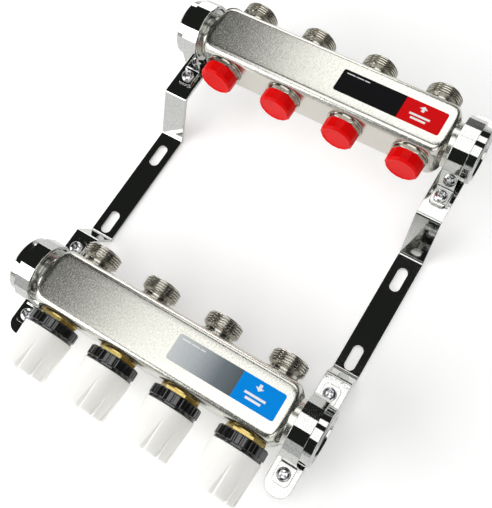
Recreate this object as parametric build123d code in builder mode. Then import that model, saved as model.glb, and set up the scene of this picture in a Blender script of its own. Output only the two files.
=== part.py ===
"""Four-circuit underfloor heating manifold: supply bar and return bar on two wall brackets.

Frame: millimetres. z = 0 is the wall plane, on which the two brackets lie; +Z points away
from the wall. The bars run along X. The heating circuits connect on the +Y side of each
bar, and the valves sit on the -Y side. The origin is the middle of the four wall slots.
"""

import os

from build123d import *

os.makedirs("parts", exist_ok=True)

# Driving dimensions
CIRCUITS = 4
PITCH = 50.0
SUPPLY_Y = 117.0
SUPPLY_Z = 59.0
RETURN_Y = -97.0
RETURN_Z = 41.0

# Pressed stainless bar
BAR_LENGTH = 192.0
BAR_WIDTH = 42.0
BAR_DEPTH = 35.0
BAR_CORNER = 10.0
BAR_EDGE = 5.5
BAR_WALL = 1.5
NECK_RADIUS = 16.5
NECK_END = 99.8

# End sockets, with a G1 inside thread
SOCKET_RADIUS = 20.3
SOCKET_END = 118.5
SOCKET_THREAD_RADIUS = 15.15
SOCKET_THREAD_DEPTH = 15.5
SOCKET_WATERWAY = 12.8
SPIGOT_LENGTH = 8.0
FIT_GAP = 0.05

# Brackets and clamps
BRACKET_X = 105.5
BRACKET_WIDTH = 19.0
BRACKET_THICKNESS = 2.5
BRACKET_OVERHANG = 44.5
BRACKET_BEND = 3.0
BRACKET_END_ROUND = 8.5
BRACKET_FLAT_LOW = -46.0
BRACKET_FLAT_HIGH = 54.0
BRACKET_RISE_LOW = -55.0
BRACKET_RISE_HIGH = 71.0
SLOT_Y = 33.2
SLOT_LENGTH = 18.9
SLOT_WIDTH = 7.6
CLAMP_WIDTH = 12.0
CLAMP_THICKNESS = 2.1
CLAMP_SIDES = 8
SCREW_OFFSET = 29.5
EAR_END = 36.5
SCREW_RADIUS = 2.5
SCREW_HOLE_RADIUS = 2.7
SCREW_HEAD_RADIUS = 4.7
SCREW_HEAD_HEIGHT = 3.0
CROSS_WIDTH = 1.3
CROSS_LENGTH = 5.4
CROSS_DEPTH = 1.6
NUT_ACROSS_FLATS = 8.0
NUT_HEIGHT = 4.0

# Outlets, with a G3/4 outside thread for a cone fitting
OUTLET_SPIGOT_RADIUS = 10.5
OUTLET_SEAT = 12.2
OUTLET_BORE = 8.0
OUTLET_CONE_RADIUS = 10.2
OUTLET_THREAD_RADIUS = 13.2
OUTLET_THREAD_START = 26.6
OUTLET_THREAD_END = 34.2
OUTLET_TIP = 35.0

# Valve inserts
INSERT_RADIUS = 10.9
INSERT_INNER_END = 13.0
FLANGE_START = 21.3
STEM_RADIUS = 2.5
STEM_BORE = 2.6
SEAL_GROOVE_RADIUS = 4.45
SEAL_GROOVE_START = 17.5
SEAL_GROOVE_END = 19.5
ACTUATOR_THREAD_RADIUS = 14.9
SPRING_CUP_RADIUS = 8.2
SPRING_CUP_FLOOR = 24.5
BODY_END = 31.0
DISC_RADIUS = 9.3
DISC_FACE = -9.0
DISC_BACK = -6.0
COLLAR_RADIUS = 7.2
COLLAR_START = 33.0
COLLAR_END = 34.5
PLUNGER_RADIUS = 4.0
PLUNGER_END = 54.0
SPRING_RADIUS = 5.6
SPRING_WIRE = 0.7
SPRING_PITCH = 2.2
SPRING_HEIGHT = 6.6
SPRING_LIFT = 0.2
RETURN_FLANGE_RADIUS = 14.0
FLANGE_END = 22.3
SEAL_RADIUS = 13.2
SEAL_GAP = 0.3

# Return side: grip ring and handle
RING_RADIUS = 18.0
RING_START = 24.4
RING_END = 31.6
RING_GROOVES = 22
RING_GROOVE_RADIUS = 0.9
SKIRT_RADIUS = 17.2
SKIRT_END = 33.3
COLLAR_TUBE_RADIUS = 14.5
COLLAR_TUBE_BORE = 12.5
BEAD_RADIUS = 15.2
BEAD_START = 38.7
BEAD_END = 40.4
RING_BORE = 15.0
RING_BORE_END = 31.3
RING_CHAMFER = 1.0
RING_STEP = 0.5
BEAD_LAND = 0.9
HANDLE_BASE_RADIUS = 17.9
HANDLE_TOP_RADIUS = 16.8
HANDLE_START = 33.6
HANDLE_END = 64.0
HANDLE_ROUND = 3.0
HANDLE_RIB_RADIUS = 14.6
BOSS_RADIUS = 6.5
BOSS_BORE = 4.1
BOSS_START = 37.0
BOSS_BORE_END = 58.0
HANDLE_WALL = 2.2
SNAP_RADIUS = 15.6
SNAP_START = 38.4
SNAP_END = 40.9

# Supply side: regulating insert and cap
NOSE_RADIUS = 10.3
NOSE_END = 30.0
SPINDLE_RADIUS = 5.0
SPINDLE_BORE = 5.1
SPINDLE_NECK_RADIUS = 4.0
SPINDLE_END = 27.0
SPINDLE_HEX = 5.0
SPINDLE_GROOVE = 3.6
SPINDLE_NECK_END = 10.0
SPINDLE_TIP_RADIUS = 6.0
SPINDLE_TAPER = 1.0
SUPPLY_FLANGE_RADIUS = 13.8
SUPPLY_FLANGE_END = 22.5
CAP_RADIUS = 13.0
CAP_START = 24.4
CAP_END = 34.0
CAP_BORE = 10.6
CAP_FLOOR = 30.5
CAP_CHAMFER = 1.6
CAP_FLATS = 14

# Front labels
LABEL_LEFT = 8.5
LABEL_RIGHT = 87.5
LABEL_HEIGHT = 18.6
LABEL_THICKNESS = 0.3
LABEL_CORNER = 1.6

PORT_XS = [(n - (CIRCUITS - 1) / 2) * PITCH for n in range(CIRCUITS)]
BARS = {"supply": (SUPPLY_Y, SUPPLY_Z), "return": (RETURN_Y, RETURN_Z)}
SIDES = {"left": -1, "right": 1}
TO_CIRCUITS = 1
TO_VALVES = -1


def save(part, name):
    """Labels one finished piece and writes it."""
    part.label = name
    export_step(part, f"parts/{name}.step")


def port_plane(x, y, z, way):
    """The plane through a port's axis: local x is the radius, local y the distance out."""
    return Plane(origin=(x, y, z), x_dir=(1, 0, 0), z_dir=(0, 0, way))


def port_face(x, y, z, way, distance):
    """The plane across a port's axis at a distance from the bar's axis, facing outwards."""
    return Plane(origin=(x, y + way * distance, z), x_dir=(1, 0, 0), z_dir=(0, way, 0))


def turn(x, y, z, way, outline):
    """Revolves a (radius, distance) outline about a port's axis, in the current part."""
    with BuildSketch(port_plane(x, y, z, way)) as profile:
        with BuildLine():
            Polyline(*outline, close=True)
        make_face()
    revolve(profile.sketch, axis=Axis((x, y, z), (0, way, 0)))


def bar_block(y, z, inset):
    """Adds the bar's block, smaller by inset on every side, to the current part."""
    depth = BAR_DEPTH - 2 * inset
    with BuildSketch(Plane.XY.offset(z - depth / 2)) as outline:
        with Locations((0, y)):
            RectangleRounded(BAR_LENGTH - 2 * inset, BAR_WIDTH - 2 * inset, BAR_CORNER - inset)
    extrude(outline.sketch, amount=depth)


def make_bar(name):
    y, z = BARS[name]
    with BuildPart() as cavity:
        bar_block(y, z, BAR_WALL)
        fillet(cavity.faces().filter_by(Axis.Z).edges(), BAR_EDGE - BAR_WALL)
        with BuildSketch(Plane.YZ.offset(-NECK_END)):
            with Locations((y, z)):
                Circle(NECK_RADIUS - BAR_WALL)
        extrude(amount=2 * NECK_END)
    with BuildPart() as bar:
        bar_block(y, z, 0)
        fillet(bar.faces().filter_by(Axis.Z).edges(), BAR_EDGE)
        for side in SIDES.values():
            with BuildSketch(Plane.YZ.offset(side * BAR_LENGTH / 2 - side * BAR_EDGE)):
                with Locations((y, z)):
                    Circle(NECK_RADIUS)
            extrude(amount=side * (NECK_END - BAR_LENGTH / 2 + BAR_EDGE))
        add(cavity.part, mode=Mode.SUBTRACT)
        for x in PORT_XS:
            with BuildSketch(port_face(x, y, z, TO_CIRCUITS, 0)):
                Circle(OUTLET_SPIGOT_RADIUS + FIT_GAP)
            extrude(amount=BAR_WIDTH, mode=Mode.SUBTRACT)
            with BuildSketch(port_face(x, y, z, TO_VALVES, 0)):
                Circle(INSERT_RADIUS + FIT_GAP)
            extrude(amount=BAR_WIDTH, mode=Mode.SUBTRACT)
    save(bar.part, f"{name}_bar")


def make_end_socket(name, side_name):
    """A turned socket: a spigot brazed into the neck, and a drum with the inside thread."""
    y, z = BARS[name]
    side = SIDES[side_name]
    spigot_radius = NECK_RADIUS - BAR_WALL - FIT_GAP
    spigot_start = NECK_END - SPIGOT_LENGTH
    thread_start = SOCKET_END - SOCKET_THREAD_DEPTH
    edge = 1.0
    lead_in = 1.5
    outline = [
        (spigot_start, SOCKET_WATERWAY),
        (spigot_start, spigot_radius),
        (NECK_END, spigot_radius),
        (NECK_END, SOCKET_RADIUS - edge),
        (NECK_END + edge, SOCKET_RADIUS),
        (SOCKET_END - edge, SOCKET_RADIUS),
        (SOCKET_END, SOCKET_RADIUS - edge),
        (SOCKET_END, SOCKET_THREAD_RADIUS + lead_in),
        (SOCKET_END - lead_in, SOCKET_THREAD_RADIUS),
        (thread_start, SOCKET_THREAD_RADIUS),
        (thread_start, SOCKET_WATERWAY),
    ]
    with BuildPart() as socket:
        with BuildSketch(Plane(origin=(0, y, z), x_dir=(side, 0, 0), z_dir=(0, -side, 0))):
            with BuildLine():
                Polyline(*outline, close=True)
            make_face()
        revolve(axis=Axis((0, y, z), (1, 0, 0)))
    save(socket.part, f"{name}_end_socket_{side_name}")


def make_outlet(name, number, x):
    """A nipple: its inner end is the valve seat, its outer end an outside thread and a cone."""
    y, z = BARS[name]
    bead_end = 22.2
    bead_radius = 11.9
    neck_end = 25.0
    cone_start = 29.0
    chamfer_width = 1.2
    crest = OUTLET_THREAD_RADIUS
    outline = [
        (OUTLET_BORE, OUTLET_SEAT),
        (OUTLET_SPIGOT_RADIUS, OUTLET_SEAT),
        (OUTLET_SPIGOT_RADIUS, BAR_WIDTH / 2 + FIT_GAP),
        (bead_radius, BAR_WIDTH / 2 + FIT_GAP),
        (OUTLET_SPIGOT_RADIUS, bead_end),
        (OUTLET_SPIGOT_RADIUS, neck_end),
        (crest, OUTLET_THREAD_START),
        (crest, OUTLET_THREAD_END),
        (crest - chamfer_width, OUTLET_TIP),
        (OUTLET_CONE_RADIUS, OUTLET_TIP),
        (OUTLET_BORE, cone_start),
    ]
    with BuildPart() as outlet:
        turn(x, y, z, TO_CIRCUITS, outline)
    save(outlet.part, f"{name}_outlet_{number}")


def make_bracket(side_name):
    """A strap bent from flat bar: a wall flat with two slots, and a raised seat per bar."""
    x = SIDES[side_name] * BRACKET_X
    seat = SOCKET_RADIUS + FIT_GAP
    middle = BRACKET_THICKNESS / 2
    low_seat = RETURN_Z - seat - middle
    high_seat = SUPPLY_Z - seat - middle
    path = [
        (RETURN_Y - BRACKET_OVERHANG, low_seat),
        (BRACKET_RISE_LOW, low_seat),
        (BRACKET_FLAT_LOW, middle),
        (BRACKET_FLAT_HIGH, middle),
        (BRACKET_RISE_HIGH, high_seat),
        (SUPPLY_Y + BRACKET_OVERHANG, high_seat),
    ]
    with BuildPart() as bracket:
        with BuildSketch(Plane.YZ.offset(x - BRACKET_WIDTH / 2)):
            with BuildLine() as strap:
                FilletPolyline(*path, radius=BRACKET_BEND)
            trace(strap.line, line_width=BRACKET_THICKNESS)
        extrude(amount=BRACKET_WIDTH)
        ends = bracket.faces().filter_by(Axis.Y)
        fillet(ends.edges().filter_by(Axis.Z), BRACKET_END_ROUND)
        with BuildSketch(Plane.XY):
            with Locations((x, SLOT_Y), (x, -SLOT_Y)):
                SlotOverall(SLOT_LENGTH, SLOT_WIDTH, rotation=90)
        extrude(amount=BRACKET_THICKNESS, mode=Mode.SUBTRACT)
        for y in (SUPPLY_Y, RETURN_Y):
            with BuildSketch(Plane.XY):
                with Locations((x, y - SCREW_OFFSET), (x, y + SCREW_OFFSET)):
                    Circle(SCREW_HOLE_RADIUS)
            extrude(amount=SUPPLY_Z, mode=Mode.SUBTRACT)
    save(bracket.part, f"bracket_{side_name}")


def make_clamp(name, side_name):
    """A faceted strap over the end socket, with a screwed-down ear on each side."""
    y, z = BARS[name]
    x = SIDES[side_name] * BRACKET_X
    inside = SOCKET_RADIUS + FIT_GAP
    outside = inside + CLAMP_THICKNESS
    turn_half_side = 180 / CLAMP_SIDES
    ear_chamfer = 2.5
    with BuildPart() as clamp:
        with BuildSketch(Plane.YZ.offset(x - CLAMP_WIDTH / 2)):
            with Locations((y, z)):
                RegularPolygon(outside, CLAMP_SIDES, major_radius=False, rotation=turn_half_side)
            with Locations((y, z - inside / 2)):
                Rectangle(2 * outside, inside)
            with Locations((y, z - inside + CLAMP_THICKNESS / 2)):
                Rectangle(2 * EAR_END, CLAMP_THICKNESS)
            with Locations((y, z)):
                RegularPolygon(
                    inside, CLAMP_SIDES, major_radius=False, rotation=turn_half_side, mode=Mode.SUBTRACT
                )
            with Locations((y, z - inside)):
                Rectangle(2 * inside, 2 * inside, mode=Mode.SUBTRACT)
            with Locations((y, z - 2 * inside)):
                Rectangle(4 * inside, 2 * inside, mode=Mode.SUBTRACT)
        extrude(amount=CLAMP_WIDTH)
        ends = clamp.faces().filter_by(Axis.Y).sort_by(Axis.Y)
        tips = ends[0].edges().filter_by(Axis.Z) + ends[-1].edges().filter_by(Axis.Z)
        chamfer(tips, ear_chamfer)
        with BuildSketch(Plane.XY.offset(z - inside)):
            with Locations((x, y - SCREW_OFFSET), (x, y + SCREW_OFFSET)):
                Circle(SCREW_HOLE_RADIUS)
        extrude(amount=CLAMP_THICKNESS, mode=Mode.SUBTRACT)
    save(clamp.part, f"{name}_clamp_{side_name}")


def clamp_screw_places():
    """Where each clamp screw stands: x, y and the height of the ear's top face."""
    places = []
    for y, z in BARS.values():
        for side in SIDES.values():
            for offset_y in (-SCREW_OFFSET, SCREW_OFFSET):
                ear_top = z - SOCKET_RADIUS - FIT_GAP + CLAMP_THICKNESS
                places.append((side * BRACKET_X, y + offset_y, ear_top))
    return places


def make_clamp_screws():
    """Pan-head cross-recess screws, each turned as one piece and then slotted."""
    spare_thread = 1.0
    shank_end = -(CLAMP_THICKNESS + BRACKET_THICKNESS + NUT_HEIGHT + spare_thread)
    crown = 1.3
    outline = [
        (0, SCREW_HEAD_HEIGHT),
        (SCREW_HEAD_RADIUS - 2 * crown, SCREW_HEAD_HEIGHT),
        (SCREW_HEAD_RADIUS - crown / 2, SCREW_HEAD_HEIGHT - crown / 2),
        (SCREW_HEAD_RADIUS, SCREW_HEAD_HEIGHT - crown),
        (SCREW_HEAD_RADIUS, 0),
        (SCREW_RADIUS, 0),
        (SCREW_RADIUS, shank_end),
        (0, shank_end),
    ]
    with BuildPart() as screws:
        for x, y, ear_top in clamp_screw_places():
            with BuildSketch(Plane(origin=(x, y, ear_top), x_dir=(1, 0, 0), z_dir=(0, -1, 0))):
                with BuildLine():
                    Polyline(*outline, close=True)
                make_face()
            revolve(axis=Axis((x, y, ear_top), (0, 0, 1)))
            with BuildSketch(Plane.XY.offset(ear_top + SCREW_HEAD_HEIGHT)):
                with Locations((x, y)):
                    Rectangle(CROSS_LENGTH, CROSS_WIDTH, rotation=45)
                    Rectangle(CROSS_WIDTH, CROSS_LENGTH, rotation=45)
            extrude(amount=-CROSS_DEPTH, mode=Mode.SUBTRACT)
    save(screws.part, "clamp_screws")


def make_clamp_nuts():
    with BuildPart() as nuts:
        for x, y, ear_top in clamp_screw_places():
            with BuildSketch(Plane.XY.offset(ear_top - CLAMP_THICKNESS - BRACKET_THICKNESS)):
                with Locations((x, y)):
                    RegularPolygon(NUT_ACROSS_FLATS / 2, 6, major_radius=False)
                    Circle(SCREW_RADIUS + FIT_GAP, mode=Mode.SUBTRACT)
            extrude(amount=-NUT_HEIGHT)
    save(nuts.part, "clamp_nuts")


def make_label(name):
    y, z = BARS[name]
    with BuildPart() as label:
        with BuildSketch(Plane.XY.offset(z + BAR_DEPTH / 2)):
            with Locations(((LABEL_LEFT + LABEL_RIGHT) / 2, y)):
                RectangleRounded(LABEL_RIGHT - LABEL_LEFT, LABEL_HEIGHT, LABEL_CORNER)
        extrude(amount=LABEL_THICKNESS)
    save(label.part, f"{name}_label")


def add_hex(x, y, z, start, end, across_flats, bore):
    """Adds a hexagon with a round hole to the current part, along a valve port's axis."""
    with BuildSketch(port_face(x, y, z, TO_VALVES, start)) as nut:
        RegularPolygon(across_flats / 2, 6, major_radius=False)
        Circle(bore, mode=Mode.SUBTRACT)
    extrude(nut.sketch, amount=end - start)


def make_return_valve(number, x):
    """The brass insert, its stem with disc and plunger, the spring, the ring and the handle."""
    y, z = BARS["return"]
    hex_end = 24.2
    hex_flats = 25.0
    waist = 12.0
    overlap = 1.0
    with BuildPart() as body:
        turn(x, y, z, TO_VALVES, [
            (STEM_BORE, INSERT_INNER_END),
            (INSERT_RADIUS, INSERT_INNER_END),
            (INSERT_RADIUS, FLANGE_START),
            (RETURN_FLANGE_RADIUS, FLANGE_START),
            (RETURN_FLANGE_RADIUS, FLANGE_END),
            (waist, FLANGE_END),
            (waist, hex_end),
            (ACTUATOR_THREAD_RADIUS, hex_end),
            (ACTUATOR_THREAD_RADIUS, BODY_END),
            (SPRING_CUP_RADIUS, BODY_END),
            (SPRING_CUP_RADIUS, SPRING_CUP_FLOOR),
            (STEM_BORE, SPRING_CUP_FLOOR),
            (STEM_BORE, SEAL_GROOVE_END),
            (SEAL_GROOVE_RADIUS, SEAL_GROOVE_END),
            (SEAL_GROOVE_RADIUS, SEAL_GROOVE_START),
            (STEM_BORE, SEAL_GROOVE_START),
        ])
        add_hex(x, y, z, FLANGE_END, hex_end, hex_flats, waist - overlap)
    save(body.part, f"return_valve_body_{number}")

    with BuildPart() as stem:
        turn(x, y, z, TO_VALVES, [
            (0, DISC_FACE),
            (DISC_RADIUS, DISC_FACE),
            (DISC_RADIUS, DISC_BACK),
            (STEM_RADIUS, DISC_BACK),
            (STEM_RADIUS, COLLAR_START),
            (COLLAR_RADIUS, COLLAR_START),
            (COLLAR_RADIUS, COLLAR_END),
            (PLUNGER_RADIUS, COLLAR_END),
            (PLUNGER_RADIUS, PLUNGER_END),
            (0, PLUNGER_END),
        ])
    save(stem.part, f"valve_stem_{number}")

    with BuildPart() as spring:
        coil_foot = (x, y - SPRING_CUP_FLOOR - SPRING_WIRE - SPRING_LIFT, z)
        with BuildLine():
            coil = Helix(SPRING_PITCH, SPRING_HEIGHT, SPRING_RADIUS, coil_foot, (0, TO_VALVES, 0))
        with BuildSketch(Plane(origin=coil @ 0, z_dir=coil % 0)):
            Circle(SPRING_WIRE)
        sweep(path=coil, is_frenet=True)
    save(spring.part, f"valve_spring_{number}")

    with BuildPart() as ring:
        turn(x, y, z, TO_VALVES, [
            (RING_BORE, RING_START),
            (RING_RADIUS - RING_CHAMFER, RING_START),
            (RING_RADIUS, RING_START + RING_CHAMFER),
            (RING_RADIUS, RING_END - RING_STEP),
            (RING_RADIUS - RING_STEP, RING_END),
            (SKIRT_RADIUS, RING_END),
            (SKIRT_RADIUS, SKIRT_END),
            (COLLAR_TUBE_RADIUS, SKIRT_END),
            (COLLAR_TUBE_RADIUS, BEAD_START),
            (BEAD_RADIUS, BEAD_START),
            (BEAD_RADIUS, BEAD_START + BEAD_LAND),
            (COLLAR_TUBE_RADIUS, BEAD_END),
            (COLLAR_TUBE_BORE, BEAD_END),
            (COLLAR_TUBE_BORE, RING_BORE_END),
            (RING_BORE, RING_BORE_END),
        ])
        with BuildSketch(port_face(x, y, z, TO_VALVES, RING_START)):
            with PolarLocations(RING_RADIUS + RING_GROOVE_RADIUS / 3, RING_GROOVES):
                Circle(RING_GROOVE_RADIUS)
        extrude(amount=RING_END - RING_START, mode=Mode.SUBTRACT)
    save(ring.part, f"handle_ring_{number}")

    wall_end = HANDLE_END - HANDLE_ROUND
    with BuildPart() as handle:
        with BuildSketch(port_plane(x, y, z, TO_VALVES)):
            with BuildLine():
                Polyline(
                    (0, HANDLE_END),
                    (0, BOSS_BORE_END),
                    (BOSS_BORE, BOSS_BORE_END),
                    (BOSS_BORE, BOSS_START),
                    (BOSS_RADIUS, BOSS_START),
                    (BOSS_RADIUS, wall_end),
                    (HANDLE_TOP_RADIUS - HANDLE_WALL, wall_end),
                    (SNAP_RADIUS, SNAP_END),
                    (SNAP_RADIUS, SNAP_START),
                    (HANDLE_RIB_RADIUS, SNAP_START),
                    (HANDLE_RIB_RADIUS, HANDLE_START),
                    (HANDLE_BASE_RADIUS, HANDLE_START),
                    (HANDLE_TOP_RADIUS, wall_end),
                )
                RadiusArc(
                    (HANDLE_TOP_RADIUS, wall_end),
                    (HANDLE_TOP_RADIUS - HANDLE_ROUND, HANDLE_END),
                    -HANDLE_ROUND,
                )
                Line((HANDLE_TOP_RADIUS - HANDLE_ROUND, HANDLE_END), (0, HANDLE_END))
            make_face()
        revolve(axis=Axis((x, y, z), (0, TO_VALVES, 0)))
    save(handle.part, f"handle_{number}")


def make_supply_valve(number, x):
    """The regulating insert, its spindle with disc, and the protective cap."""
    y, z = BARS["supply"]
    hex_end = 24.1
    hex_flats = 22.6
    overlap = 1.0
    with BuildPart() as body:
        turn(x, y, z, TO_VALVES, [
            (SPINDLE_BORE, INSERT_INNER_END),
            (INSERT_RADIUS, INSERT_INNER_END),
            (INSERT_RADIUS, FLANGE_START),
            (SUPPLY_FLANGE_RADIUS, FLANGE_START),
            (SUPPLY_FLANGE_RADIUS, SUPPLY_FLANGE_END),
            (NOSE_RADIUS, SUPPLY_FLANGE_END),
            (NOSE_RADIUS, NOSE_END),
            (SPINDLE_BORE, NOSE_END),
        ])
        add_hex(x, y, z, SUPPLY_FLANGE_END, hex_end, hex_flats, NOSE_RADIUS - overlap)
    save(body.part, f"supply_valve_body_{number}")

    with BuildPart() as spindle:
        turn(x, y, z, TO_VALVES, [
            (0, DISC_FACE - SPINDLE_TAPER),
            (SPINDLE_TIP_RADIUS, DISC_FACE - SPINDLE_TAPER),
            (DISC_RADIUS, DISC_FACE + SPINDLE_TAPER),
            (DISC_RADIUS, DISC_BACK),
            (SPINDLE_NECK_RADIUS, DISC_BACK),
            (SPINDLE_NECK_RADIUS, SPINDLE_NECK_END),
            (SPINDLE_RADIUS, SPINDLE_NECK_END),
            (SPINDLE_RADIUS, SEAL_GROOVE_START),
            (SPINDLE_GROOVE, SEAL_GROOVE_START),
            (SPINDLE_GROOVE, SEAL_GROOVE_END),
            (SPINDLE_RADIUS, SEAL_GROOVE_END),
            (SPINDLE_RADIUS, SPINDLE_END),
            (0, SPINDLE_END),
        ])
        with BuildSketch(port_face(x, y, z, TO_VALVES, SPINDLE_END)):
            RegularPolygon(SPINDLE_HEX / 2, 6, major_radius=False)
        extrude(amount=-SPINDLE_HEX, mode=Mode.SUBTRACT)
    save(spindle.part, f"regulating_spindle_{number}")

    with BuildPart() as cap:
        with BuildSketch(port_face(x, y, z, TO_VALVES, CAP_START)):
            RegularPolygon(CAP_RADIUS, CAP_FLATS, major_radius=True)
        extrude(amount=CAP_END - CAP_START)
        outer_face = cap.faces().filter_by(Axis.Y).sort_by(Axis.Y)[0]
        chamfer(outer_face.edges(), CAP_CHAMFER)
        with BuildSketch(port_face(x, y, z, TO_VALVES, CAP_START)):
            Circle(CAP_BORE)
        extrude(amount=CAP_FLOOR - CAP_START, mode=Mode.SUBTRACT)
    save(cap.part, f"red_cap_{number}")


def make_seals():
    """Flat rings under the insert flanges, and round rings on the stems and spindles."""
    groove_middle = (SEAL_GROOVE_START + SEAL_GROOVE_END) / 2
    with BuildPart() as flats:
        for y, z in BARS.values():
            for x in PORT_XS:
                with BuildSketch(port_face(x, y, z, TO_VALVES, BAR_WIDTH / 2)):
                    Circle(SEAL_RADIUS)
                    Circle(INSERT_RADIUS + SEAL_GAP, mode=Mode.SUBTRACT)
                extrude(amount=FLANGE_START - BAR_WIDTH / 2)
    save(flats.part, "valve_body_seals")

    rings = {
        "stem_seals": ("return", STEM_BORE, SEAL_GROOVE_RADIUS),
        "spindle_seals": ("supply", SPINDLE_GROOVE, SPINDLE_BORE),
    }
    for node, (name, inner, outer) in rings.items():
        y, z = BARS[name]
        wire = (outer - inner) / 2 - FIT_GAP
        with BuildPart() as seals:
            for x in PORT_XS:
                with BuildSketch(port_plane(x, y, z, TO_VALVES)):
                    with Locations(((inner + outer) / 2, groove_middle)):
                        Circle(wire)
                revolve(axis=Axis((x, y, z), (0, 1, 0)))
        save(seals.part, node)


for bar_name in BARS:
    make_bar(bar_name)
    make_label(bar_name)
    for side_name in SIDES:
        make_end_socket(bar_name, side_name)
        make_clamp(bar_name, side_name)
    for port, port_x in enumerate(PORT_XS, start=1):
        make_outlet(bar_name, port, port_x)

for side_name in SIDES:
    make_bracket(side_name)

for port, port_x in enumerate(PORT_XS, start=1):
    make_return_valve(port, port_x)
    make_supply_valve(port, port_x)

make_clamp_screws()
make_clamp_nuts()
make_seals()
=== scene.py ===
"""Looks for the underfloor heating manifold: detailed pieces, materials, light and camera.

Lengths in the tables below are millimetres; meshes are made in metres by MM.
"""

import math

import bmesh
import bpy
import numpy as np
from mathutils import Matrix, Vector


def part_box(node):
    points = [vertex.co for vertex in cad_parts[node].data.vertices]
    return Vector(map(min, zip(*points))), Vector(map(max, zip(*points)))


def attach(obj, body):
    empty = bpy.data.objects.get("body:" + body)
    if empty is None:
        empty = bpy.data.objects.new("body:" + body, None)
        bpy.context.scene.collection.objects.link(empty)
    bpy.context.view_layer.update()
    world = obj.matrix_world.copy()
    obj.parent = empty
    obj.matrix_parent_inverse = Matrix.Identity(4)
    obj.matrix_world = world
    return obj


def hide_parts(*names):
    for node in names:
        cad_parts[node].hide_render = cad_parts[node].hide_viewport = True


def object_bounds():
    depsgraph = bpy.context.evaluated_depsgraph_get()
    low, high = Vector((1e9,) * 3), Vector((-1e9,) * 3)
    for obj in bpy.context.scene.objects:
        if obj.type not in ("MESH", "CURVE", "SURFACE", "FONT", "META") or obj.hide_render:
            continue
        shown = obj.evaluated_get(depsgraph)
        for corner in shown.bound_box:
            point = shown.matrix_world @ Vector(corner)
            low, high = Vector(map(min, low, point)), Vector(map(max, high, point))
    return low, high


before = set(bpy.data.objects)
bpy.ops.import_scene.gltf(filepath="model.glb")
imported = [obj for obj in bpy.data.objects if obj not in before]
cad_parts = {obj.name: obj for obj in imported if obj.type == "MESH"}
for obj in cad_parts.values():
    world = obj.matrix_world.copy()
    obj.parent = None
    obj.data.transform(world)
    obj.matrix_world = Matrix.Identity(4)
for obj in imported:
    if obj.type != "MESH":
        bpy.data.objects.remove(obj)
CAD_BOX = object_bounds()

MM = 0.001
CIRCUITS = range(1, 5)
ROOT = "manifold"
TO_CIRCUITS = Vector((0, 1, 0))
TO_VALVES = Vector((0, -1, 0))


def middle(node):
    low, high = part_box(node)
    return (low + high) / 2


BAR_CENTRE = {name: middle(f"{name}_bar") for name in ("supply", "return")}
PORT_X = {n: middle(f"return_outlet_{n}").x for n in CIRCUITS}
BRACKET_X = {side: middle(f"bracket_{side}").x for side in ("left", "right")}


def port_centre(name, n):
    """Where circuit n's port axis crosses the middle of a bar."""
    return Vector((PORT_X[n], BAR_CENTRE[name].y, BAR_CENTRE[name].z))


# ---------------------------------------------------------------- mesh helpers

def make_object(name, verts, faces, sharp_degrees=32.0):
    """A mesh object from points in metres, smooth but sharp at its corners."""
    mesh = bpy.data.meshes.new(name)
    mesh.from_pydata([tuple(v) for v in verts], [], faces)
    mesh.validate()
    work = bmesh.new()
    work.from_mesh(mesh)
    bmesh.ops.remove_doubles(work, verts=work.verts, dist=1e-7)
    bmesh.ops.recalc_face_normals(work, faces=work.faces)
    work.to_mesh(mesh)
    work.free()
    mesh.shade_smooth()
    mesh.set_sharp_from_angle(angle=math.radians(sharp_degrees))
    obj = bpy.data.objects.new(name, mesh)
    bpy.context.scene.collection.objects.link(obj)
    return obj


def rounded_outline(corners, steps=4, closed=True):
    """An outline from (a, b, corner radius) rows, each corner turned into an arc."""
    points = []
    count = len(corners)
    for i, (a, b, radius) in enumerate(corners):
        here = np.array((a, b), float)
        if not closed and i in (0, count - 1):
            points.append((a, b))
            continue
        before = np.array(corners[i - 1][:2], float) - here
        after = np.array(corners[(i + 1) % count][:2], float) - here
        length_before = np.linalg.norm(before)
        length_after = np.linalg.norm(after)
        if radius <= 0 or length_before < 1e-9 or length_after < 1e-9:
            points.append(tuple(here))
            continue
        before /= length_before
        after /= length_after
        half = math.acos(max(-1.0, min(1.0, float(before @ after)))) / 2
        if half > math.radians(89):
            points.append(tuple(here))
            continue
        reach = min(radius / math.tan(half), 0.49 * length_before, 0.49 * length_after)
        start = here + before * reach
        end = here + after * reach
        bisector = (before + after) / np.linalg.norm(before + after)
        centre = here + bisector * reach / math.cos(half)
        for k in range(steps + 1):
            blend = k / steps
            chord = start * (1 - blend) + end * blend - centre
            arc = centre + chord / np.linalg.norm(chord) * np.linalg.norm(start - centre)
            points.append(tuple(arc))
    return points


def port_point(centre, way, across, radius, angle, distance):
    """A point round a port's axis: radius and angle about it, distance along it."""
    side = across * math.cos(angle) + way.cross(across) * math.sin(angle)
    return centre + (side * radius + way * distance) * MM


def lathe(name, outline, centre, way, segments=72, shape=None, closed=True):
    """Turns an outline of (radius, distance) about an axis; shape may change each radius."""
    across = Vector((1, 0, 0)) if abs(way.x) < 0.5 else Vector((0, 1, 0))
    verts = []
    rings = []
    for radius, distance in outline:
        if radius < 1e-6:
            rings.append([len(verts)] * segments)
            verts.append(centre + way * distance * MM)
            continue
        ring = []
        for k in range(segments):
            angle = 2 * math.pi * k / segments
            here = shape(angle, radius, distance) if shape else radius
            ring.append(len(verts))
            verts.append(port_point(centre, way, across, here, angle, distance))
        rings.append(ring)
    faces = []
    last = len(rings) if closed else len(rings) - 1
    for i in range(last):
        low = rings[i]
        high = rings[(i + 1) % len(rings)]
        for k in range(segments):
            after = (k + 1) % segments
            corners = [low[k], low[after], high[after], high[k]]
            face = list(dict.fromkeys(corners))
            if len(face) > 2:
                faces.append(face)
    return make_object(name, verts, faces)


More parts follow.
